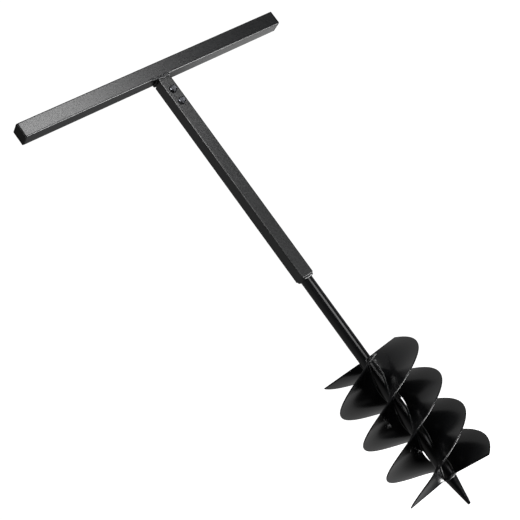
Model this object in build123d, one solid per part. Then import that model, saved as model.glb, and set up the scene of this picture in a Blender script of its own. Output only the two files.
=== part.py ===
from build123d import *
import os
from math import atan2, cos, degrees, pi, radians, sin

# Hand soil auger: a T-handle bolted into a square shaft, a round stem below it, three helical
# flights standing off the stem on stitch welds, and a tapered pilot point.
# Millimetres, +Z up the tool's axis, origin at the blunt end of the pilot point.
# +X runs along the handle crossbar, and -Y is the side that shows the bolt heads.

# ---------------------------------------------------------------- driving dimensions

# handle
CROSSBAR_LENGTH = 604.0  # over both end plugs
CROSSBAR_OVERHANG = 1.0  # the crossbar is wider than the shaft by this, each side
CROSSBAR_WALL = 2.0
TUBE_CORNER = 2.5  # outside corner radius of every square tube
PLUG_FLANGE = 3.0  # thickness of an end plug outside the tube
PLUG_INSERT = 22.0  # depth of an end plug inside the tube
PLUG_WALL = 2.0
PLUG_FLANGE_INSET = 0.3  # the flange is this much smaller than the tube, all round

# shaft and the spigot that joins the handle to it
SHAFT_LENGTH = 452.0
SHAFT_SIDE = 28.0
SHAFT_WALL = 1.8
SPIGOT_WALL = 3.0
SPIGOT_INSERT = 75.0  # depth of the spigot inside the shaft
NECK_GAP = 7.0  # bare spigot between the shaft's top and the crossbar

# bolts, with the head at -Y and the nut at +Y
BOLT_DIAMETER = 8.0
BOLT_HEAD_HEIGHT = 5.3
BOLT_HEAD_FLATS = 13.0
BOLT_THREAD_PAST_NUT = 3.6
BOLT_FIRST_DROP = 25.0  # from the shaft's top to the first bolt
BOLT_SPACING = 27.5
BOLT_TURNS = {"upper": 8.0, "lower": 35.0}  # how far each head was turned when it was tightened
NUT_TURN = 17.0  # of a nut from its bolt's head
NUT_FLATS = 13.0
NUT_HEIGHT = 6.8
WASHER_DIAMETER = 16.0
WASHER_THICKNESS = 1.6

# stem
STEM_WALL = 3.0
STEM_INSERT = 80.0  # depth of the stem inside the shaft
STEM_BARE = 183.0  # between the flights and the shaft

# flights
FLIGHT_COUNT = 3
FLIGHT_DIAMETER = 190.0
FLIGHT_PITCH = 206.0
FLIGHT_LENGTH = 252.0  # along the axis
FLIGHT_THICKNESS = 2.5
FLIGHT_STANDOFF = 2.0  # between the stem and a flight's inner edge
FLIGHT_LEAD_ANGLE = 50.0  # of the first flight's leading edge, from +X
STITCH_RUNS = ((0.0, 0.11), (0.25, 0.56), (0.64, 1.0))  # welded shares of a flight's length
STITCH_THICKNESS = 5.0

# pilot point
PILOT_LENGTH = 58.0  # from the tip to the flights' leading edges
PILOT_TIP_DIAMETER = 5.5
PILOT_SHANK = 30.0  # length of the plug inside the stem
PILOT_WELD_HEIGHT = 6.0  # of the bead over the seam between the point and the stem

# clearances
SLIDE_CLEARANCE = 0.2  # a tube or plug inside another, each side
BOLT_CLEARANCE = 0.5  # a bolt in its holes, on the radius
WASHER_CLEARANCE = 0.2  # a washer on its bolt, on the radius
NUT_CLEARANCE = 0.1  # a nut on its bolt, on the radius
WELD_CLEARANCE = 0.2  # a weld bead from the edge that it holds
WELD_LEG = 4.0  # width of a fillet weld's bead
WELD_BACK = 0.5  # how far a weld stays inside the edge of the tube above it

# ---------------------------------------------------------------- worked out from them

SHAFT_BORE = SHAFT_SIDE - 2 * SHAFT_WALL
CROSSBAR_SIDE = SHAFT_SIDE + 2 * CROSSBAR_OVERHANG
CROSSBAR_BORE = CROSSBAR_SIDE - 2 * CROSSBAR_WALL
SPIGOT_SIDE = SHAFT_BORE - 2 * SLIDE_CLEARANCE
STEM_DIAMETER = SHAFT_BORE - 2 * SLIDE_CLEARANCE
STEM_RADIUS = STEM_DIAMETER / 2
STEM_BORE_RADIUS = STEM_RADIUS - STEM_WALL
FLIGHT_INNER_RADIUS = STEM_RADIUS + FLIGHT_STANDOFF
FLIGHT_OUTER_RADIUS = FLIGHT_DIAMETER / 2

FLIGHTS_BOTTOM_Z = PILOT_LENGTH
FLIGHTS_TOP_Z = FLIGHTS_BOTTOM_Z + FLIGHT_LENGTH
SHAFT_BOTTOM_Z = FLIGHTS_TOP_Z + STEM_BARE
SHAFT_TOP_Z = SHAFT_BOTTOM_Z + SHAFT_LENGTH
CROSSBAR_BOTTOM_Z = SHAFT_TOP_Z + NECK_GAP
CROSSBAR_Z = CROSSBAR_BOTTOM_Z + CROSSBAR_SIDE / 2
CROSSBAR_TUBE_LENGTH = CROSSBAR_LENGTH - 2 * PLUG_FLANGE

BOLT_HEIGHTS = {
    "upper": SHAFT_TOP_Z - BOLT_FIRST_DROP,
    "lower": SHAFT_TOP_Z - BOLT_FIRST_DROP - BOLT_SPACING,
}
SHAFT_FRONT_Y = -SHAFT_SIDE / 2
SHAFT_BACK_Y = SHAFT_SIDE / 2
NUT_FACE_Y = SHAFT_BACK_Y + WASHER_THICKNESS
BOLT_END_Y = NUT_FACE_Y + NUT_HEIGHT + BOLT_THREAD_PAST_NUT

# a flight's sheet is swept at the radius whose helix angle is midway between its two edges'
HELIX_RISE = FLIGHT_PITCH / (2 * pi)  # per radian
INNER_HELIX_ANGLE = atan2(HELIX_RISE, FLIGHT_INNER_RADIUS)
OUTER_HELIX_ANGLE = atan2(HELIX_RISE, FLIGHT_OUTER_RADIUS)
MIDDLE_HELIX_ANGLE = (INNER_HELIX_ANGLE + OUTER_HELIX_ANGLE) / 2
FLIGHT_PATH_RADIUS = HELIX_RISE * cos(MIDDLE_HELIX_ANGLE) / sin(MIDDLE_HELIX_ANGLE)


# ---------------------------------------------------------------- shared shapes


def square_section(side, corner):
    """A rounded square, centred."""
    return RectangleRounded(side, side, corner)


def square_tube_section(side, wall):
    """The section of a square tube, with a smaller radius inside its corners."""
    inner_corner = max(TUBE_CORNER - wall, wall / 4)
    outer = square_section(side, TUBE_CORNER)
    return outer - square_section(side - 2 * wall, inner_corner)


def along_y(radius, start_y, end_y, height):
    """A round bar along Y at x = 0."""
    plane = Plane(origin=(0, start_y, height), x_dir=(1, 0, 0), z_dir=(0, 1, 0))
    return extrude(plane * Circle(radius), amount=end_y - start_y)


def hexagon_along_y(flats, start_y, end_y, height, turn):
    """A hexagonal bar along Y at x = 0, turned about its own axis."""
    plane = Plane(origin=(0, start_y, height), x_dir=(1, 0, 0), z_dir=(0, 1, 0))
    profile = Rot(0, 0, turn) * RegularPolygon(flats / 2, side_count=6, major_radius=False)
    return extrude(plane * profile, amount=end_y - start_y)


def bolt_holes():
    """Both bolts' clearance holes, as bars right through the shaft."""
    radius = BOLT_DIAMETER / 2 + BOLT_CLEARANCE
    holes = Part()
    for height in BOLT_HEIGHTS.values():
        holes += along_y(radius, -SHAFT_SIDE, SHAFT_SIDE, height)
    return holes


def helical_strip(start_z, length, start_angle, path_radius, inner, outer, thickness):
    """A strip that winds right-handed about the axis at the flights' pitch."""
    helix = Helix(pitch=FLIGHT_PITCH, height=length, radius=path_radius)
    path = Pos(0, 0, start_z) * Rot(0, 0, start_angle) * helix
    angle = radians(start_angle)
    outwards = (cos(angle), sin(angle), 0)
    plane = Plane(origin=path @ 0, x_dir=outwards, z_dir=path % 0)
    middle = (inner + outer) / 2 - path_radius
    profile = plane * Pos(middle, 0) * Rectangle(outer - inner, thickness)
    return sweep(profile, path=path, is_frenet=True)


# ---------------------------------------------------------------- handle


def crossbar_tube():
    plane = Plane.YZ.offset(-CROSSBAR_TUBE_LENGTH / 2)
    section = square_tube_section(CROSSBAR_SIDE, CROSSBAR_WALL)
    return Pos(0, 0, CROSSBAR_Z) * extrude(plane * section, amount=CROSSBAR_TUBE_LENGTH)


def end_plug():
    """An end plug for the +X end: a flange outside the tube and an open box inside it."""
    inside = CROSSBAR_BORE - 2 * SLIDE_CLEARANCE
    corner = max(TUBE_CORNER - CROSSBAR_WALL, CROSSBAR_WALL / 4)
    flange_plane = Plane.YZ.offset(CROSSBAR_TUBE_LENGTH / 2)
    flange = extrude(
        flange_plane * square_section(CROSSBAR_SIDE - 2 * PLUG_FLANGE_INSET, TUBE_CORNER),
        amount=PLUG_FLANGE,
    )
    insert = extrude(flange_plane * square_section(inside, corner), amount=-PLUG_INSERT)
    hollow = extrude(flange_plane * Rectangle(inside - 2 * PLUG_WALL, inside - 2 * PLUG_WALL),
                     amount=-PLUG_INSERT)
    return Pos(0, 0, CROSSBAR_Z) * (flange + (insert - hollow))


def spigot():
    """The square stub under the crossbar that slides into the shaft."""
    bottom = Plane.XY.offset(SHAFT_TOP_Z - SPIGOT_INSERT)
    section = square_tube_section(SPIGOT_SIDE, SPIGOT_WALL)
    return extrude(bottom * section, amount=SPIGOT_INSERT + NECK_GAP) - bolt_holes()


def spigot_weld():
    """A fillet bead round the spigot, against the flat underside of the crossbar."""
    top_side = min(CROSSBAR_SIDE - 2 * WELD_BACK, SPIGOT_SIDE + 2 * WELD_LEG)
    bottom_side = SPIGOT_SIDE + WELD_BACK
    depth = NECK_GAP - 1.0
    bead = loft([
        Plane.XY.offset(CROSSBAR_BOTTOM_Z - depth) * Rectangle(bottom_side, bottom_side),
        Plane.XY.offset(CROSSBAR_BOTTOM_Z) * Rectangle(top_side, top_side),
    ])
    opening = Plane.XY.offset(CROSSBAR_BOTTOM_Z - depth) * square_section(SPIGOT_SIDE, TUBE_CORNER)
    return bead - extrude(opening, amount=depth)


# ---------------------------------------------------------------- shaft and fasteners


def shaft_tube():
    section = square_tube_section(SHAFT_SIDE, SHAFT_WALL)
    tube = extrude(Plane.XY.offset(SHAFT_BOTTOM_Z) * section, amount=SHAFT_LENGTH)
    return tube - bolt_holes()


def bolt(height, turn):
    """A hex bolt from the front of the shaft, ending past its nut."""
    head_y = SHAFT_FRONT_Y - BOLT_HEAD_HEIGHT
    head = hexagon_along_y(BOLT_HEAD_FLATS, head_y, SHAFT_FRONT_Y, height, turn)
    shank = along_y(BOLT_DIAMETER / 2, SHAFT_FRONT_Y, BOLT_END_Y, height)
    return head + shank


def washer(height):
    bore = along_y(BOLT_DIAMETER / 2 + WASHER_CLEARANCE, SHAFT_BACK_Y, NUT_FACE_Y, height)
    return along_y(WASHER_DIAMETER / 2, SHAFT_BACK_Y, NUT_FACE_Y, height) - bore


def nut(height, turn):
    outer_y = NUT_FACE_Y + NUT_HEIGHT
    bore = along_y(BOLT_DIAMETER / 2 + NUT_CLEARANCE, NUT_FACE_Y, outer_y, height)
    return hexagon_along_y(NUT_FLATS, NUT_FACE_Y, outer_y, height, turn) - bore


# ---------------------------------------------------------------- stem, flights and pilot


def stem_tube():
    section = Circle(STEM_RADIUS) - Circle(STEM_BORE_RADIUS)
    length = SHAFT_BOTTOM_Z + STEM_INSERT - FLIGHTS_BOTTOM_Z
    return extrude(Plane.XY.offset(FLIGHTS_BOTTOM_Z) * section, amount=length)


def stem_weld():
    """The bead that closes the shaft's square end onto the round stem."""
    side = SHAFT_SIDE - 2 * WELD_BACK
    depth = WELD_LEG + WELD_BACK
    bead = loft([
        Plane.XY.offset(SHAFT_BOTTOM_Z - depth) * Rectangle(STEM_DIAMETER, STEM_DIAMETER),
        Plane.XY.offset(SHAFT_BOTTOM_Z) * Rectangle(side, side),
    ])
    corner_round = extrude(
        Plane.XY.offset(SHAFT_BOTTOM_Z - depth) * Circle(SHAFT_SIDE / 2 + WELD_LEG / 2),
        amount=depth,
    )
    stem = extrude(Plane.XY.offset(SHAFT_BOTTOM_Z - depth) * Circle(STEM_RADIUS), amount=depth)
    return (bead & corner_round) - stem


def flight(lead_angle):
    """One blade, from its leading edge at the pilot point to its top edge."""
    return helical_strip(FLIGHTS_BOTTOM_Z, FLIGHT_LENGTH, lead_angle, FLIGHT_PATH_RADIUS,
                         FLIGHT_INNER_RADIUS, FLIGHT_OUTER_RADIUS, FLIGHT_THICKNESS)


def flight_welds(lead_angle):
    """The welded stretches of one blade's inner edge, above the pilot point's bead."""
    first_rise = PILOT_WELD_HEIGHT / 2 + WELD_BACK + STITCH_THICKNESS / 4
    outer = FLIGHT_INNER_RADIUS - WELD_CLEARANCE
    stitches = []
    for start_share, end_share in STITCH_RUNS:
        rise = max(start_share * FLIGHT_LENGTH, first_rise)
        length = end_share * FLIGHT_LENGTH - rise
        angle = lead_angle + degrees(rise / HELIX_RISE)
        stitches.append(helical_strip(FLIGHTS_BOTTOM_Z + rise, length, angle,
                                      (STEM_RADIUS + outer) / 2, STEM_RADIUS, outer,
                                      STITCH_THICKNESS))
    return Compound(children=stitches)


def pilot_point():
    """A tapered point whose plug fits inside the stem."""
    shank_radius = STEM_BORE_RADIUS - SLIDE_CLEARANCE
    shoulder_z = FLIGHTS_BOTTOM_Z
    outline = Polyline(
        (0, 0),
        (PILOT_TIP_DIAMETER / 2, 0),
        (STEM_RADIUS, shoulder_z),
        (shank_radius, shoulder_z),
        (shank_radius, shoulder_z + PILOT_SHANK),
        (0, shoulder_z + PILOT_SHANK),
        close=True,
    )
    return revolve(Plane.XZ * make_face(outline), axis=Axis.Z)


def pilot_weld():
    """A bead over the seam between the pilot point and the stem, inside the flights' edges."""
    half_height = PILOT_WELD_HEIGHT / 2
    crown = FLIGHT_INNER_RADIUS - 2 * WELD_CLEARANCE
    cone_slope = (STEM_RADIUS - PILOT_TIP_DIAMETER / 2) / PILOT_LENGTH
    outline = Polyline(
        (STEM_RADIUS, FLIGHTS_BOTTOM_Z),
        (STEM_RADIUS, FLIGHTS_BOTTOM_Z + half_height),
        (crown, FLIGHTS_BOTTOM_Z + half_height / 2),
        (crown, FLIGHTS_BOTTOM_Z - half_height / 2),
        (STEM_RADIUS - cone_slope * half_height, FLIGHTS_BOTTOM_Z - half_height),
        close=True,
    )
    return revolve(Plane.XZ * make_face(outline), axis=Axis.Z)


# ---------------------------------------------------------------- write the pieces

PIECES = {
    "crossbar_tube": crossbar_tube(),
    "crossbar_plug_right": end_plug(),
    "crossbar_plug_left": mirror(end_plug(), about=Plane.YZ),
    "handle_spigot": spigot(),
    "spigot_weld": spigot_weld(),
    "shaft_tube": shaft_tube(),
    "stem_tube": stem_tube(),
    "stem_weld": stem_weld(),
    "pilot_point": pilot_point(),
    "pilot_weld": pilot_weld(),
}

for place, bolt_height in BOLT_HEIGHTS.items():
    head_turn = BOLT_TURNS[place]
    PIECES["bolt_" + place] = bolt(bolt_height, head_turn)
    PIECES["washer_" + place] = washer(bolt_height)
    PIECES["nut_" + place] = nut(bolt_height, head_turn + NUT_TURN)

for number in range(FLIGHT_COUNT):
    angle_now = FLIGHT_LEAD_ANGLE + number * 360 / FLIGHT_COUNT
    PIECES["flight_" + str(number + 1)] = flight(angle_now)
    PIECES["flight_welds_" + str(number + 1)] = flight_welds(angle_now)

os.makedirs("parts", exist_ok=True)
for name, piece in PIECES.items():
    export_step(piece, "parts/" + name + ".step")
    print(name, round(piece.volume, 1))
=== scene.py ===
import math

import bpy
from mathutils import Matrix, Quaternion, Vector, noise


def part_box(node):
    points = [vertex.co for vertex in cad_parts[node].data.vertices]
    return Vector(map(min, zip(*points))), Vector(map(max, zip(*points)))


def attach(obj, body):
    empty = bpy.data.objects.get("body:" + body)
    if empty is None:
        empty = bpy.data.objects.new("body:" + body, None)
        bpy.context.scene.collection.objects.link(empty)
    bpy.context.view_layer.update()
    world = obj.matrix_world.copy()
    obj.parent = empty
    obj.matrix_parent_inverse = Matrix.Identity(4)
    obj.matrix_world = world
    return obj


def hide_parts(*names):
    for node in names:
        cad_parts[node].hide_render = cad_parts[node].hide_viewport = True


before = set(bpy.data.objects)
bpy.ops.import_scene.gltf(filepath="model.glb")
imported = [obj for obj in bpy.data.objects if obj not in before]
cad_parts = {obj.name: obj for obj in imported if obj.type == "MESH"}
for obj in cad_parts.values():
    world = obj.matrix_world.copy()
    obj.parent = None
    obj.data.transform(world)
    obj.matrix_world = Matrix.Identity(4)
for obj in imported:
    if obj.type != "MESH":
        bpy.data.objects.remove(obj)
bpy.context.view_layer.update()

MM = 0.001


# ---------------------------------------------------------------- sizes
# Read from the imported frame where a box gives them. The rest are the CAD source's own sizes, or
# belong to details that only the visible model has.

def ends(node, axis):
    """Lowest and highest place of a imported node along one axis, in metres."""
    low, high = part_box(node)
    return low[axis], high[axis]


X, Y, Z = range(3)
CROSSBAR_LEFT, CROSSBAR_RIGHT = ends("crossbar_tube", X)
CROSSBAR_BOTTOM, CROSSBAR_TOP = ends("crossbar_tube", Z)
CROSSBAR_HALF = (CROSSBAR_TOP - CROSSBAR_BOTTOM) / 2
CROSSBAR_MIDDLE = (CROSSBAR_TOP + CROSSBAR_BOTTOM) / 2
CROSSBAR_WALL = 2.0 * MM
SPIGOT_HALF = ends("handle_spigot", X)[1]
SHAFT_BOTTOM, SHAFT_TOP = ends("shaft_tube", Z)
SHAFT_HALF = ends("shaft_tube", X)[1]
SHAFT_WALL = 1.8 * MM
TUBE_CORNER = 2.5 * MM
TUBE_EASE = 0.4 * MM  # rounding of a sawn tube's end
SHAFT_END_INSET = 0.8 * MM  # how far the shaft's lower end is ground in,
SHAFT_END_HEIGHT = 2.6 * MM  # over this height,
SHAFT_END_CORNER = 5.5 * MM  # to corners of about this radius

STEM_BOTTOM, STEM_TOP = ends("stem_tube", Z)
STEM_RADIUS = ends("stem_tube", X)[1]
STEM_WALL = 3.0 * MM
PILOT_TOP = ends("pilot_point", Z)[1]
PILOT_TIP_RADIUS = 2.75 * MM
PILOT_SHANK_RADIUS = 8.8 * MM

FLIGHT_PITCH = 206.0 * MM
FLIGHT_LENGTH = 252.0 * MM
FLIGHT_INNER = 14.0 * MM
FLIGHT_OUTER = 95.0 * MM
FLIGHT_THICKNESS = 2.5 * MM
FLIGHT_LEADS = {"1": 50.0, "2": 170.0, "3": 290.0}  # degrees round the stem
FLIGHT_RISE = FLIGHT_PITCH / math.tau  # per radian
STITCH_RUNS = ((4.75, 27.7), (63.0, 141.1), (161.3, 252.0))  # mm of rise that are welded

BOLT_RADIUS = 4.0 * MM
THREAD_PITCH = 1.25 * MM
THREAD_DEPTH = 0.65 * MM
HEX_FLATS = 13.0 * MM
HEX_TURNS = {"upper": (8.0, 25.0), "lower": (35.0, 52.0)}  # head and nut, degrees

ALONG_X = Matrix(((0, 0, 1, 0), (1, 0, 0, 0), (0, 1, 0, 0), (0, 0, 0, 1)))
ALONG_Y = Matrix(((1, 0, 0, 0), (0, 0, 1, 0), (0, -1, 0, 0), (0, 0, 0, 1)))


# ---------------------------------------------------------------- materials

def linear(code):
    """An sRGB hex colour as linear red, green, blue and alpha."""
    parts = [int(code[i:i + 2], 16) / 255 for i in (1, 3, 5)]
    return [c / 12.92 if c <= 0.04045 else ((c + 0.055) / 1.055) ** 2.4 for c in parts] + [1.0]


def per_metre(size_mm):
    """A texture scale whose features are this many millimetres across."""
    return 1000.0 / size_mm


def add(tree, kind, settings=(), links=()):
    """Adds a node, sets its properties and sockets, and links sockets of other nodes into it."""
    node = tree.nodes.new(kind)
    for key, value in dict(settings).items():
        if isinstance(key, str) and key.islower():
            setattr(node, key, value)
        else:
            node.inputs[key].default_value = value
    for key, source in dict(links).items():
        tree.links.new(source, node.inputs[key])
    return node


PATCH_MM = 45.0  # across a soft patch of a coat's second tone
PAINTED_GLINT_TONE = "#5a5b5e"  # painted highlight: the tone that grains are drawn in where they seem to catch the light
MIX_FACTOR, MIX_A, MIX_B, MIX_RESULT = 0, 6, 7, 2  # sockets of a colour mix node


def coat(name, tones, roughness, grain_mm, grain_height_mm, waves_mm, wave_height_mm,
         base, painted_glint=0.0):
    """A sprayed or plated finish: two tones in soft patches, a fine grain, and slow waves.
    base holds the shader's own values, and the last argument is a painted highlight: how much
    of a lighter tone the highest grains take, as if they caught the light. Sizes are in
    millimetres."""
    material = bpy.data.materials.new(name)
    material.use_nodes = True
    tree = material.node_tree
    tree.nodes.clear()
    place = add(tree, "ShaderNodeTexCoord").outputs["Object"]
    patches = add(tree, "ShaderNodeTexNoise",
                  {"Scale": per_metre(PATCH_MM), "Detail": 3.0, "Roughness": 0.55},
                  {"Vector": place})
    grain = add(tree, "ShaderNodeTexNoise",
                {"Scale": per_metre(grain_mm), "Detail": 2.0, "Roughness": 0.6},
                {"Vector": place})
    waves = add(tree, "ShaderNodeTexNoise",
                {"Scale": per_metre(waves_mm), "Detail": 1.0}, {"Vector": place})
    colour = add(tree, "ShaderNodeMix",
                 {"data_type": "RGBA", "clamp_factor": True, MIX_A: linear(tones[0]),
                  MIX_B: linear(tones[1])}, {MIX_FACTOR: patches.outputs["Fac"]})
    last = colour.outputs[MIX_RESULT]
    # painted highlight: the highest grains are drawn in a lighter tone, as if they caught the light
    if painted_glint:
        painted_glint_mask = add(tree, "ShaderNodeMapRange",
                      {"From Min": 0.55, "From Max": 0.75, "To Max": painted_glint},
                      {"Value": grain.outputs["Fac"]})
        last = add(tree, "ShaderNodeMix",
                   {"data_type": "RGBA", MIX_B: linear(PAINTED_GLINT_TONE)},
                   {MIX_FACTOR: painted_glint_mask.outputs[0], MIX_A: last}).outputs[MIX_RESULT]
    rough = add(tree, "ShaderNodeMapRange",
                {"From Min": 0.3, "From Max": 0.7, "To Min": roughness[0],
                 "To Max": roughness[1]}, {"Value": grain.outputs["Fac"]})
    slow = add(tree, "ShaderNodeBump",
               {"Strength": 1.0, "Distance": wave_height_mm * MM}, {"Height": waves.outputs["Fac"]})
    fine = add(tree, "ShaderNodeBump",
               {"Strength": 1.0, "Distance": grain_height_mm * MM},
               {"Height": grain.outputs["Fac"], "Normal": slow.outputs[0]})
    shader = add(tree, "ShaderNodeBsdfPrincipled", base,
                 {"Base Color": last, "Roughness": rough.outputs[0],
                  "Normal": fine.outputs[0]})
    add(tree, "ShaderNodeOutputMaterial", {}, {"Surface": shader.outputs[0]})
    return material


# Mild steel tube under baked polyester powder: a satin black with a fine sandy grain. The real
# grain is about 0.3 mm; it is drawn coarser, so that it still shows at the tool's full length.
powder_coated_handle = coat(
    "powder_coated_mild_steel_handle", ("#08090a", "#0d0e10"), (0.27, 0.36),
    1.3, 0.012, 30.0, 0.02, {"IOR": 1.5})
# the shaft's coat also carries a faint painted highlight on its highest grains
powder_coated_shaft = coat(
    "powder_coated_mild_steel_shaft", ("#08090a", "#0f1011"), (0.30, 0.46),
    1.6, 0.07, 24.0, 0.02, {"IOR": 1.5}, painted_glint=0.02)
# Round steel tube and turned point under stoving enamel: smooth and glossy, with slight waves.
enamelled_stem = coat(
    "stoving_enamel_on_steel_stem", ("#060607", "#0a0b0c"), (0.16, 0.22),
    2.2, 0.008, 18.0, 0.02, {"IOR": 1.5})
# Pressed steel sheet under sprayed enamel: satin, with a faint orange peel.
enamelled_flights = coat(
    "sprayed_enamel_on_pressed_steel_flights", ("#070708", "#0c0d0e"), (0.17, 0.22),
    2.6, 0.010, 14.0, 0.02, {"IOR": 1.5})
# Weld metal with the coat over it: the ripples are in the mesh, and fine scale is in the bump.
coated_weld = coat(
    "enamel_over_weld_metal", ("#08090a", "#121315"), (0.32, 0.44),
    0.9, 0.04, 4.0, 0.05, {"IOR": 1.5})
# Black passivated zinc on forged steel: a dark metal with a soft, slightly mottled shine.
black_zinc = coat(
    "black_zinc_on_forged_steel", ("#444548", "#4d4e52"), (0.28, 0.36),
    0.8, 0.015, 5.0, 0.01, {"Metallic": 1.0})
# Injection-moulded polyethylene: dull black, its fine spark-eroded pits swallow most of the shine.
moulded_polyethylene = coat(
    "moulded_polyethylene_plug", ("#040404", "#070707"), (0.55, 0.68),
    0.7, 0.02, 9.0, 0.03, {"IOR": 1.51, "Specular IOR Level": 0.15})


# ---------------------------------------------------------------- mesh tools

def skin(rings, closed=False, strip_ends=False):
    """A mesh over rings of points. closed joins the last ring to the first; otherwise both ends
    are capped, with crosswise quads if the rings are long thin strips."""
    count = len(rings[0])
    faces = []
    for i in range(len(rings) if closed else len(rings) - 1):
        a, b = i * count, (i + 1) % len(rings) * count
        faces += [(a + j, a + (j + 1) % count, b + (j + 1) % count, b + j) for j in range(count)]
    if not closed:
        for first, flip in ((0, -1), ((len(rings) - 1) * count, 1)):
            if strip_ends:
                caps = [(first + j, first + j + 1, first + count - 2 - j, first + count - 1 - j)
                        for j in range(count // 2 - 1)]
            else:
                caps = [tuple(first + j for j in range(count))]
            faces += [cap[::flip] for cap in caps]
    mesh = bpy.data.meshes.new("skin")
    mesh.from_pydata([tuple(p) for ring in rings for p in ring], [], faces)
    return mesh


def join(meshes):
    """One mesh that holds several."""
    points, faces = [], []
    for mesh in meshes:
        start = len(points)
        points += [tuple(v.co) for v in mesh.vertices]
        faces += [tuple(start + i for i in p.vertices) for p in mesh.polygons]
        bpy.data.meshes.remove(mesh)
    whole = bpy.data.meshes.new("joined")
    whole.from_pydata(points, [], faces)
    return whole


def piece(name, mesh, body, material, replaced, sharp_degrees=35.0):
    """Makes a finished piece of the tool from a mesh in the shared frame."""
    mesh.name = name
    signed = sum(p.center.dot(p.normal) * p.area for p in mesh.polygons)
    if signed < 0:
        mesh.flip_normals()
    mesh.polygons.foreach_set("use_smooth", [True] * len(mesh.polygons))
    mesh.set_sharp_from_angle(angle=math.radians(sharp_degrees))
    mesh.materials.append(material)
    made = bpy.data.objects.new(name, mesh)
    bpy.context.scene.collection.objects.link(made)
    even = made.modifiers.new("flats stay flat", "WEIGHTED_NORMAL")
    even.keep_sharp = True
    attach(made, body)
    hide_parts(*replaced)


def square_ring(half, corner, along, steps=6):
    """A rounded square of points at one height."""
    points = []
    for quarter in range(4):
        for step in range(steps + 1):
            angle = math.radians(90.0 * (quarter + step / steps))
            middle = half - corner
            sign_x = (1, -1, -1, 1)[quarter]
            sign_y = (1, 1, -1, -1)[quarter]
            points.append(Vector((sign_x * middle + corner * math.cos(angle),
                                  sign_y * middle + corner * math.sin(angle), along)))
    return points


def round_ring(radius, along, count=72):
    """A circle of points at one height."""
    return [Vector((radius * math.cos(math.tau * i / count),
                    radius * math.sin(math.tau * i / count), along)) for i in range(count)]


def square_tube(start, end, half, wall, edge, dressed=None):
    """A square tube with rounded corners and eased ends. dressed is the inward step, the height
    and the corner radius that the start is ground down to."""
    inset, height, end_corner = dressed or (edge, edge, TUBE_CORNER)
    start_steps, end_steps, corner_run = 5, 3, 6 * MM
    bore = half - wall
    bore_corner = max(TUBE_CORNER - wall, wall / 4)
    rings = []
    for step in range(start_steps + 1):
        turn = math.radians(90.0 * step / start_steps)
        share = 1 - math.sin(turn)
        corner = TUBE_CORNER + (end_corner - TUBE_CORNER) * share - inset * share * 0.4
        rings.append(square_ring(half - inset * share, corner,
                                 start + height * (1 - math.cos(turn))))
    rings.append(square_ring(half, TUBE_CORNER, start + height + corner_run))
    for step in range(end_steps + 1):
        turn = math.radians(90.0 * step / end_steps)
        inwards = edge * (1 - math.cos(turn))
        rings.append(square_ring(half - inwards, TUBE_CORNER - inwards,
                                 end - edge * (1 - math.sin(turn))))
    rings.append(square_ring(bore, bore_corner, end))
    rings.append(square_ring(bore, bore_corner, start))
    return skin(rings, closed=True)


def turned(profile, closed=False, count=72):
    """A turned shape about the local Z axis, from pairs of radius and height."""
    return skin([round_ring(radius, height, count) for radius, height in profile], closed)


def moved(mesh, turn, place):
    """The mesh, turned and then moved."""
    mesh.transform(Matrix.Translation(Vector(place)) @ turn)
    return mesh


BEAD_POINTS = 14  # round a bead
RIPPLE = 1.7 * MM  # from one ripple of a bead to the next
RIPPLE_DEPTH = 0.16  # share of the bead's size that a ripple falls by
RIPPLE_LAG = 0.35  # how far a ripple's crown trails its sides, in ripples
LUMPS_PER_METRE = 220
LUMP_DRIFT = 0.21  # how much the lumps change from one point of a ring to the next
BEAD_END_SIZE = 0.35  # share of the full size where a bead starts and stops
BEAD_LEAST_SQUARE = 0.02  # keeps the rings next to the ends open
BEAD_BLUNTNESS = 8  # higher is a squarer end


def bead(path, outwards, width, height, seed, lumps, closed=False):
    """A weld bead along a path of points. outwards holds each point's direction away from the
    joint, width and height are half the bead's size across and out, and lumps is the share of
    that size by which it swells and shrinks."""
    rings, travelled = [], 0.0
    for i, here in enumerate(path):
        before = path[i - 1] if i or closed else here
        after = path[(i + 1) % len(path)] if closed or i + 1 < len(path) else here
        forward = (after - before).normalized()
        out = (outwards[i] - forward * outwards[i].dot(forward)).normalized()
        across = forward.cross(out)
        if i:
            travelled += (here - path[i - 1]).length
        phase = travelled / RIPPLE % 1.0
        scallop = 1.0 - RIPPLE_DEPTH * phase * phase
        if closed:
            taper = 1.0
        else:
            share = i / (len(path) - 1)
            taper = BEAD_END_SIZE
            if 0 < share < 1:
                taper = math.sqrt(max(BEAD_LEAST_SQUARE, 1 - (2 * share - 1) ** BEAD_BLUNTNESS))
        ring = []
        for j in range(BEAD_POINTS):
            angle = math.tau * j / BEAD_POINTS
            shift = Vector((seed, j * LUMP_DRIFT, 0))
            wave = 1 + lumps * noise.noise(here * LUMPS_PER_METRE + shift)
            size = scallop * taper * wave
            lag = -RIPPLE_LAG * RIPPLE * max(0.0, math.sin(angle))
            ring.append(here + across * (width * size * math.cos(angle))
                        + out * (height * size * math.sin(angle)) + forward * (lag * taper))
        rings.append(ring)
    return skin(rings, closed)


# ---------------------------------------------------------------- handle

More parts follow.
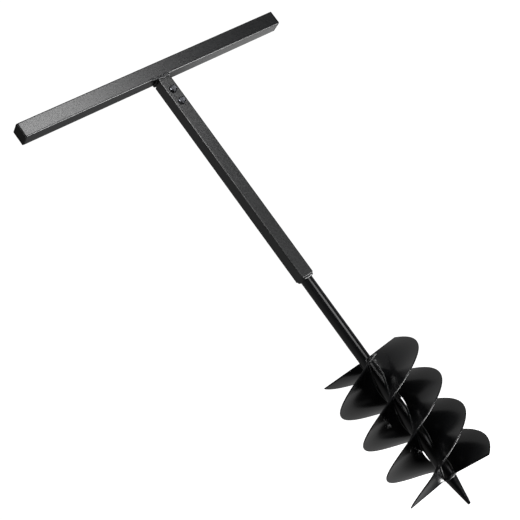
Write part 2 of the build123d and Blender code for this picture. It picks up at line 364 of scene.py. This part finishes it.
def end_plug(side):
    """A moulded plug: an open box inside the tube and a flange with a raised, rounded border."""
    flange, insert_length, wall = 3.0 * MM, 22.0 * MM, 2.0 * MM
    rim = CROSSBAR_HALF - 0.05 * MM
    insert = CROSSBAR_HALF - CROSSBAR_WALL - 0.2 * MM
    bore = insert - wall
    bore_corner, insert_corner = 0.4 * MM, 0.6 * MM
    rings = [square_ring(bore, bore_corner, 0.0), square_ring(bore, bore_corner, -insert_length),
             square_ring(insert, insert_corner, -insert_length),
             square_ring(insert, insert_corner, 0.0), square_ring(rim, TUBE_CORNER, 0.0)]
    rounding, steps = 0.6 * MM, 5
    for step in range(steps + 1):
        turn = math.radians(90.0 * step / steps)
        inwards = rounding * (1 - math.cos(turn))
        rings.append(square_ring(rim - inwards, TUBE_CORNER - inwards,
                                 flange - rounding * (1 - math.sin(turn))))
    border, dish = 2.2 * MM, 0.6 * MM
    rings.append(square_ring(rim - border, 1.0 * MM, flange))
    rings.append(square_ring(rim - border - 0.4 * MM, 0.9 * MM, flange - dish * 0.8))
    rings.append(square_ring(rim - border - 1.1 * MM, 0.8 * MM, flange - dish))
    mesh = skin(rings)
    turn = ALONG_X if side > 0 else Matrix.Scale(-1, 4, (1, 0, 0)) @ ALONG_X
    face = CROSSBAR_RIGHT if side > 0 else CROSSBAR_LEFT
    return moved(mesh, turn, (face, 0, CROSSBAR_MIDDLE))


def spigot_bead():
    """The hand-laid bead round the spigot, which laps onto the crossbar's lower front edge."""
    level = CROSSBAR_BOTTOM - 1.6 * MM
    reach = SPIGOT_HALF + 0.6 * MM
    path, outwards = [], []
    per_side, sway, droop = 56, 0.7 * MM, Vector((0, 0, -0.55))
    corners = [Vector((-reach, -reach, level)), Vector((reach, -reach, level)),
               Vector((reach, reach, level)), Vector((-reach, reach, level))]
    for side in range(4):
        a, b = corners[side], corners[(side + 1) % 4]
        for step in range(per_side):
            share = step / per_side
            here = a.lerp(b, share)
            away = Vector((here.x, here.y, 0)).normalized() + droop
            path.append(here + Vector((0, 0, sway * math.sin(share * 9 + side * 2))))
            outwards.append(away)
    ring = bead(path, outwards, 2.9 * MM, 2.5 * MM, 3.1, closed=True, lumps=0.22)
    lap_path, lap_out = [], []
    lap_start, lap_end, steps = -30.0 * MM, 16.0 * MM, 130
    for step in range(steps + 1):
        share = step / steps
        x = lap_start + (lap_end - lap_start) * share
        wobble = 1.1 * MM * math.sin(x / (5.2 * MM)) + 0.5 * MM * math.sin(x / (2.3 * MM) + 1)
        lap_path.append(Vector((x, -CROSSBAR_HALF + 2.2 * MM, CROSSBAR_BOTTOM + 0.4 * MM + wobble)))
        lap_out.append(Vector((0, -1, -0.8)))
    lap = bead(lap_path, lap_out, 3.0 * MM, 2.3 * MM, 8.4, lumps=0.3)
    return join([ring, lap])


piece("crossbar", moved(square_tube(CROSSBAR_LEFT, CROSSBAR_RIGHT, CROSSBAR_HALF, CROSSBAR_WALL,
                                    TUBE_EASE), ALONG_X, (0, 0, CROSSBAR_MIDDLE)),
      "auger", powder_coated_handle, ["crossbar_tube"])
piece("end_plug_right", end_plug(1), "auger", moulded_polyethylene,
      ["crossbar_plug_right"])
piece("end_plug_left", end_plug(-1), "auger", moulded_polyethylene,
      ["crossbar_plug_left"])
piece("spigot_weld_bead", spigot_bead(), "auger", coated_weld, ["spigot_weld"], 60.0)

# the spigot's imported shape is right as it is, so it keeps its mesh and takes the handle's coat
for material_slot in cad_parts["handle_spigot"].material_slots:
    material_slot.material = powder_coated_handle


# ---------------------------------------------------------------- shaft

def stem_collar():
    """The dressed weld that rounds the shaft's square end down onto the round stem."""
    depth, count, roundness = 4.5 * MM, 96, 3.0
    corner_reach = SHAFT_HALF + 2.6 * MM  # the corners' limit, before their lumps
    rings = []
    # above the shaft's end and then below it, in depths
    heights = [0.9, 0.5, 0.0, -0.15, -0.3, -0.45, -0.6, -0.74, -0.86, -0.95, -1.0]
    for height in heights:
        share = max(0.0, -height)
        fullness = math.sqrt(max(0.0, 1 - share ** roundness))
        ring = []
        for i in range(count):
            angle = math.tau * i / count
            across = max(abs(math.cos(angle)), abs(math.sin(angle)))
            square = min((SHAFT_HALF - SHAFT_END_INSET) / across, corner_reach)
            inner = STEM_RADIUS - 0.3 * MM
            radius = inner + (square - inner) * fullness
            bump = noise.noise(Vector((math.cos(angle), math.sin(angle), height)) * 3.1)
            fine = noise.noise(Vector((math.cos(angle), math.sin(angle), height)) * 9.0)
            radius += (0.35 * bump + 0.16 * fine) * MM * min(1.0, share * 4)
            ring.append(Vector((radius * math.cos(angle), radius * math.sin(angle),
                                SHAFT_BOTTOM + height * depth)))
        rings.append(ring)
    bore = STEM_RADIUS - 0.5 * MM
    for height in (heights[-1], heights[0]):
        rings.append(round_ring(bore, SHAFT_BOTTOM + height * depth, count))
    return skin(rings, closed=True)


BOLT_HEIGHTS = {place: sum(ends("bolt_" + place, Z)) / 2 for place in ("upper", "lower")}

piece("shaft", square_tube(SHAFT_BOTTOM, SHAFT_TOP, SHAFT_HALF, SHAFT_WALL, TUBE_EASE,
                           (SHAFT_END_INSET, SHAFT_END_HEIGHT, SHAFT_END_CORNER)),
      "auger", powder_coated_shaft, ["shaft_tube"])
piece("stem_collar_weld", stem_collar(), "auger", coated_weld, ["stem_weld"], 60.0)


# ---------------------------------------------------------------- bolts, nuts and washers

HEX_COUNT = 48  # points round a hexagon or a bolt


def hex_ring(height_of, turn_degrees):
    """A hexagon of points, whose height at each point depends on its distance from the middle."""
    ring = []
    for i in range(HEX_COUNT):
        angle = math.tau * i / HEX_COUNT
        sector = (angle + math.pi / 6) % (math.pi / 3) - math.pi / 6
        radius = HEX_FLATS / 2 / math.cos(math.pi / 6 - abs(sector))
        place = angle + math.radians(turn_degrees)
        ring.append(Vector((radius * math.cos(place), radius * math.sin(place),
                            height_of(radius))))
    return ring


def flat_ring(radius, height, turn_degrees):
    """A circle whose points line up with a hexagon's."""
    return [Vector((radius * math.cos(math.tau * i / HEX_COUNT + math.radians(turn_degrees)),
                    radius * math.sin(math.tau * i / HEX_COUNT + math.radians(turn_degrees)),
                    height)) for i in range(HEX_COUNT)]


CHAMFER = math.tan(math.radians(30.0))


def hex_bolt(turn_degrees):
    """A forged hex bolt along +Z from the shaft's front face: chamfered head, plain shank, and a
    cut thread that ends in a point."""
    head, length, plain = 5.3 * MM, 40.0 * MM, 18.0 * MM
    flat = 0.76 * HEX_FLATS / 2  # radius of the flat top inside the chamfer
    seat, seat_height = 0.94 * HEX_FLATS / 2, 0.35 * MM
    stations_per_turn = 10
    rings = [flat_ring(flat - 0.9 * MM, -head + 0.25 * MM, turn_degrees),
             flat_ring(flat - 0.3 * MM, -head + 0.04 * MM, turn_degrees),
             flat_ring(flat, -head, turn_degrees)]
    rings.append(hex_ring(lambda r: -head + (r - flat) * CHAMFER, turn_degrees))
    rings.append(hex_ring(lambda r: -seat_height, turn_degrees))
    rings.append(flat_ring(seat, -seat_height, turn_degrees))
    rings.append(flat_ring(seat, 0.0, turn_degrees))
    rings.append(flat_ring(BOLT_RADIUS, 0.0, turn_degrees))
    rings.append(flat_ring(BOLT_RADIUS, plain, turn_degrees))
    stations = int((length - plain) / THREAD_PITCH * stations_per_turn)
    for step in range(1, stations + 1):
        along = plain + (length - plain) * step / stations
        ring = []
        for i in range(HEX_COUNT):
            angle = math.tau * i / HEX_COUNT + math.radians(turn_degrees)
            share = (along / THREAD_PITCH - angle / math.tau) % 1.0
            tooth = min(1.0, max(0.0, 1.25 * (1 - abs(2 * share - 1)) - 0.05))
            fade = min(1.0, (along - plain) / (2 * THREAD_PITCH))
            radius = BOLT_RADIUS - THREAD_DEPTH * (1 - tooth) * fade
            radius = min(radius, BOLT_RADIUS - 1.0 * MM + (length - along))
            ring.append(Vector((radius * math.cos(angle), radius * math.sin(angle), along)))
        rings.append(ring)
    return skin(rings)


def hex_nut(turn_degrees):
    """A hex nut along +Z, chamfered on both faces, with a countersunk bore."""
    height, bore, sink = 6.8 * MM, 4.1 * MM, 0.45 * MM
    flat = 0.93 * HEX_FLATS / 2  # radius of the flat face inside the chamfer
    return skin([
        flat_ring(bore + sink, 0.0, turn_degrees), flat_ring(flat, 0.0, turn_degrees),
        hex_ring(lambda r: (r - flat) * CHAMFER, turn_degrees),
        hex_ring(lambda r: height - (r - flat) * CHAMFER, turn_degrees),
        flat_ring(flat, height, turn_degrees), flat_ring(bore + sink, height, turn_degrees),
        flat_ring(bore, height - sink, turn_degrees), flat_ring(bore, sink, turn_degrees),
    ], closed=True)


def plain_washer():
    """A punched washer along +Z, rounded on its outer upper edge by the punch."""
    thick, outer, bore = 1.6 * MM, 8.0 * MM, 4.2 * MM
    return turned([(bore, 0.0), (outer - 0.1 * MM, 0.0), (outer, 0.1 * MM),
                   (outer, thick - 0.45 * MM), (outer - 0.13 * MM, thick - 0.13 * MM),
                   (outer - 0.45 * MM, thick), (bore + 0.15 * MM, thick),
                   (bore, thick - 0.15 * MM)], closed=True)


for place, height in BOLT_HEIGHTS.items():
    piece("hex_bolt_" + place,
          moved(hex_bolt(-HEX_TURNS[place][0]), ALONG_Y, (0, -SHAFT_HALF, height)),
          "auger", black_zinc, ["bolt_" + place], 28.0)
    washer_y = ends("washer_" + place, Y)[0]
    piece("plain_washer_" + place, moved(plain_washer(), ALONG_Y, (0, washer_y, height)),
          "washer_" + place, black_zinc, ["washer_" + place], 50.0)
    nut_y = ends("nut_" + place, Y)[0]
    piece("hex_nut_" + place,
          moved(hex_nut(-HEX_TURNS[place][1]), ALONG_Y, (0, nut_y, height)),
          "nut_" + place, black_zinc, ["nut_" + place], 28.0)


# ---------------------------------------------------------------- stem and pilot point

piece("stem", turned([(STEM_RADIUS, STEM_BOTTOM), (STEM_RADIUS, STEM_TOP - 0.6 * MM),
                      (STEM_RADIUS - 0.6 * MM, STEM_TOP), (STEM_RADIUS - STEM_WALL, STEM_TOP),
                      (STEM_RADIUS - STEM_WALL, STEM_BOTTOM)], closed=True, count=96),
      "auger", enamelled_stem, ["stem_tube"])

NOSE_SPREAD = 0.2 * MM  # the rounded nose ends this much wider than the blunt tip,
NOSE_HEIGHT = 1.3 * MM  # at this height
pilot_profile = [(PILOT_TIP_RADIUS - 1.1 * MM, 0.0), (PILOT_TIP_RADIUS - 0.5 * MM, 0.12 * MM),
                 (PILOT_TIP_RADIUS - 0.1 * MM, 0.5 * MM),
                 (PILOT_TIP_RADIUS + NOSE_SPREAD, NOSE_HEIGHT)]
cone_steps = 12
for step in range(1, cone_steps + 1):
    share = step / cone_steps
    pilot_profile.append((PILOT_TIP_RADIUS + NOSE_SPREAD
                          + (STEM_RADIUS - PILOT_TIP_RADIUS - NOSE_SPREAD) * share,
                          NOSE_HEIGHT + (STEM_BOTTOM - NOSE_HEIGHT) * share))
pilot_profile += [(PILOT_SHANK_RADIUS, STEM_BOTTOM), (PILOT_SHANK_RADIUS, PILOT_TOP - 1.0 * MM),
                  (PILOT_SHANK_RADIUS - 1.0 * MM, PILOT_TOP)]
piece("pilot", turned(pilot_profile, count=96), "auger", enamelled_stem,
      ["pilot_point"])


def circle_bead(radius, level, width, height, seed, wobble, lumps):
    """A bead right round the stem, with slow wobbles and lumps."""
    path, outwards = [], []
    count = 220
    for i in range(count):
        angle = math.tau * i / count
        away = Vector((math.cos(angle), math.sin(angle), 0))
        shift = wobble * (math.sin(3 * angle + seed) + 0.6 * math.sin(7 * angle + 2 * seed))
        path.append(away * radius + Vector((0, 0, level + shift)))
        outwards.append(away)
    return bead(path, outwards, width, height, seed, closed=True, lumps=lumps)


piece("pilot_weld_bead", circle_bead(STEM_RADIUS - 0.3 * MM, STEM_BOTTOM, 3.0 * MM, 2.2 * MM,
                                     5.3, 0.5 * MM, 0.3),
      "auger", coated_weld, ["pilot_weld"], 60.0)


# ---------------------------------------------------------------- flights and their welds

def flight_point(radius, turn, lift, lead):
    """A point of a flight: turn is radians past its leading edge, and lift is along the sheet's
    own normal."""
    angle = lead + turn
    slope = math.atan2(FLIGHT_RISE, radius)
    round_stem = Vector((-math.sin(angle), math.cos(angle), 0))
    return (Vector((radius * math.cos(angle), radius * math.sin(angle),
                    STEM_BOTTOM + FLIGHT_RISE * turn))
            + lift * (Vector((0, 0, math.cos(slope))) - round_stem * math.sin(slope)))


def flight_sheet(lead):
    """One pressed helical sheet, with its rim and end edges eased."""
    half = FLIGHT_THICKNESS / 2
    across, spread = 26, 1.25  # strips across, which widen outwards
    rim, rim_steps, inner_ease = 0.95 * MM, 5, 0.25 * MM
    radii = [FLIGHT_INNER + inner_ease + (FLIGHT_OUTER - rim - FLIGHT_INNER - inner_ease)
             * (i / across) ** spread for i in range(across + 1)]
    lower = [(FLIGHT_INNER, -half * 0.75)] + [(r, -half) for r in radii]
    for step in range(1, rim_steps):
        turn = math.radians(90.0 * step / rim_steps)
        lower.append((FLIGHT_OUTER - rim + rim * math.sin(turn),
                      -half + rim * (1 - math.cos(turn))))
    lower.append((FLIGHT_OUTER, -(half - rim)))
    section = lower + [(r, -lift) for r, lift in reversed(lower)]
    total, steps = FLIGHT_LENGTH / FLIGHT_RISE, 176
    eased = ((0.0, 0.35), (0.005, 0.78))  # radians from an end edge, and share of the thickness
    full = 0.014  # radians from an end edge where the sheet is fully thick
    turns = [*eased, (full, 1.0)]
    turns += [(full + (total - 2 * full) * i / steps, 1.0) for i in range(1, steps + 1)]
    turns += [(total - back, thin) for back, thin in reversed(eased)]
    rings = [[flight_point(radius, turn, lift * thin, math.radians(lead))
              for radius, lift in section] for turn, thin in turns]
    return skin(rings, strip_ends=True)


def stitch_welds(lead):
    """The welded stretches of a flight's inner edge, each a bead above and a bead below."""
    radius, spacing = STEM_RADIUS + 0.9 * MM, 0.45 * MM
    off, far_off = 1.6 * MM, 4.0 * MM  # from the sheet's middle to the bead and past it
    beads = []
    for start, end in STITCH_RUNS:
        for side in (-1, 1):
            stations = int((end - start) * MM / spacing)
            path, outwards = [], []
            for i in range(stations + 1):
                turn = (start + (end - start) * i / stations) * MM / FLIGHT_RISE
                here = flight_point(radius, turn, side * off, math.radians(lead))
                off_sheet = flight_point(radius, turn, side * far_off, math.radians(lead)) - here
                away = Vector((here.x, here.y, 0)).normalized()
                path.append(here)
                outwards.append(away + off_sheet.normalized() * 0.9)
            beads.append(bead(path, outwards, 2.0 * MM, 1.9 * MM, start + side, lumps=0.2))
    return join(beads)


for number, lead in FLIGHT_LEADS.items():
    piece("flight_sheet_" + number, flight_sheet(lead), "auger",
          enamelled_flights, ["flight_" + number], 40.0)
    piece("flight_stitch_welds_" + number, stitch_welds(lead), "auger", coated_weld,
          ["flight_welds_" + number], 60.0)


# ---------------------------------------------------------------- floor, light and camera

floor_mesh = bpy.data.meshes.new("floor")
reach, level = 40.0, -0.001
floor_mesh.from_pydata([(-reach, -reach, level), (reach, -reach, level),
                        (reach, reach, level), (-reach, reach, level)], [], [(0, 1, 2, 3)])
floor = bpy.data.objects.new("floor", floor_mesh)
bpy.context.scene.collection.objects.link(floor)
pale_floor = bpy.data.materials.new("pale_floor")
pale_floor.use_nodes = True
paint = pale_floor.node_tree.nodes["Principled BSDF"]
paint.inputs["Base Color"].default_value = linear("#f4f4f4")
paint.inputs["Roughness"].default_value = 0.9
paint.inputs["Emission Color"].default_value = linear("#ffffff")
paint.inputs["Emission Strength"].default_value = 0.97
floor_mesh.materials.append(pale_floor)
floor.visible_diffuse = floor.visible_glossy = floor.visible_shadow = False


def panel(name, place, aim, width, height, radiance):
    """A soft light panel that faces a point. radiance is its brightness for each square metre."""
    light = bpy.data.lights.new(name, "AREA")
    light.shape, light.size, light.size_y = "RECTANGLE", width, height
    light.energy = radiance * math.pi * width * height
    lamp = bpy.data.objects.new(name, light)
    lamp.location = place
    lamp.rotation_mode = "QUATERNION"
    lamp.rotation_quaternion = (Vector(aim) - Vector(place)).to_track_quat("-Z", "Y")
    lamp.visible_camera = False
    bpy.context.scene.collection.objects.link(lamp)


# Two panels stand at the front right, one lies below the floor, which casts no shadow, one
# stands at the front left, and a weak one stands behind.
panel("high_panel", (0.50, -1.75, 1.55), (0, 0, 0.75), 0.6, 0.6, 15.0)
panel("low_panel", (0.50, -1.80, 0.47), (0, 0, 0.4), 1.0, 0.36, 4.6)
panel("under_panel", (1.60, -1.10, -2.20), (0, 0, 0.967), 3.4, 1.0, 28.0)
panel("left_panel", (-0.85, -1.50, 1.45), (0, 0, 0.90), 0.8, 0.30, 42.0)
panel("back_panel", (1.50, 1.40, 0.60), (0, 0, 0.6), 0.8, 0.7, 1.1)

# The surround is dark at the front and below, and pale at the back and above. Only the camera
# sees the white backdrop.
world = bpy.data.worlds.new("studio")
bpy.context.scene.world = world
world.use_nodes = True
air = world.node_tree
air.nodes.clear()
direction = add(air, "ShaderNodeTexCoord").outputs["Generated"]
facing = add(air, "ShaderNodeVectorMath",
             {"operation": "DOT_PRODUCT", 1: (0.0, 0.6, 0.5)}, {0: direction})
glow = add(air, "ShaderNodeMapRange",
           {"From Min": -0.5, "From Max": 0.0, "To Min": 0.0, "To Max": 0.24},
           {0: facing.outputs["Value"]})
around = add(air, "ShaderNodeBackground", {"Color": linear("#ffffff")},
             {"Strength": glow.outputs[0]})
backdrop = add(air, "ShaderNodeBackground", {"Color": linear("#ffffff"), "Strength": 1.05})
seen = add(air, "ShaderNodeLightPath").outputs["Is Camera Ray"]
both = add(air, "ShaderNodeMixShader", {}, {0: seen, 1: around.outputs[0],
                                            2: backdrop.outputs[0]})
add(air, "ShaderNodeOutputWorld", {}, {"Surface": both.outputs[0]})
bpy.context.scene.view_settings.view_transform = "Standard"

# the tool leans to the upper left in the frame: the camera stands low at its front left, rolled
CAMERA_PLACE = Vector((-1.0147, -1.5365, 0.3448))
CAMERA_LOOK = Vector((0.5255, 0.84229, 0.11997))
CAMERA_ROLL = math.radians(35.87)
camera = bpy.data.objects.new("camera", bpy.data.cameras.new("camera"))
camera.data.lens = 70.35
camera.data.sensor_width = 36.0
camera.rotation_mode = "QUATERNION"
camera.location = CAMERA_PLACE
camera.rotation_quaternion = (Quaternion(CAMERA_LOOK, CAMERA_ROLL)
                              @ CAMERA_LOOK.to_track_quat("-Z", "Y"))
bpy.context.scene.collection.objects.link(camera)
bpy.context.scene.camera = camera
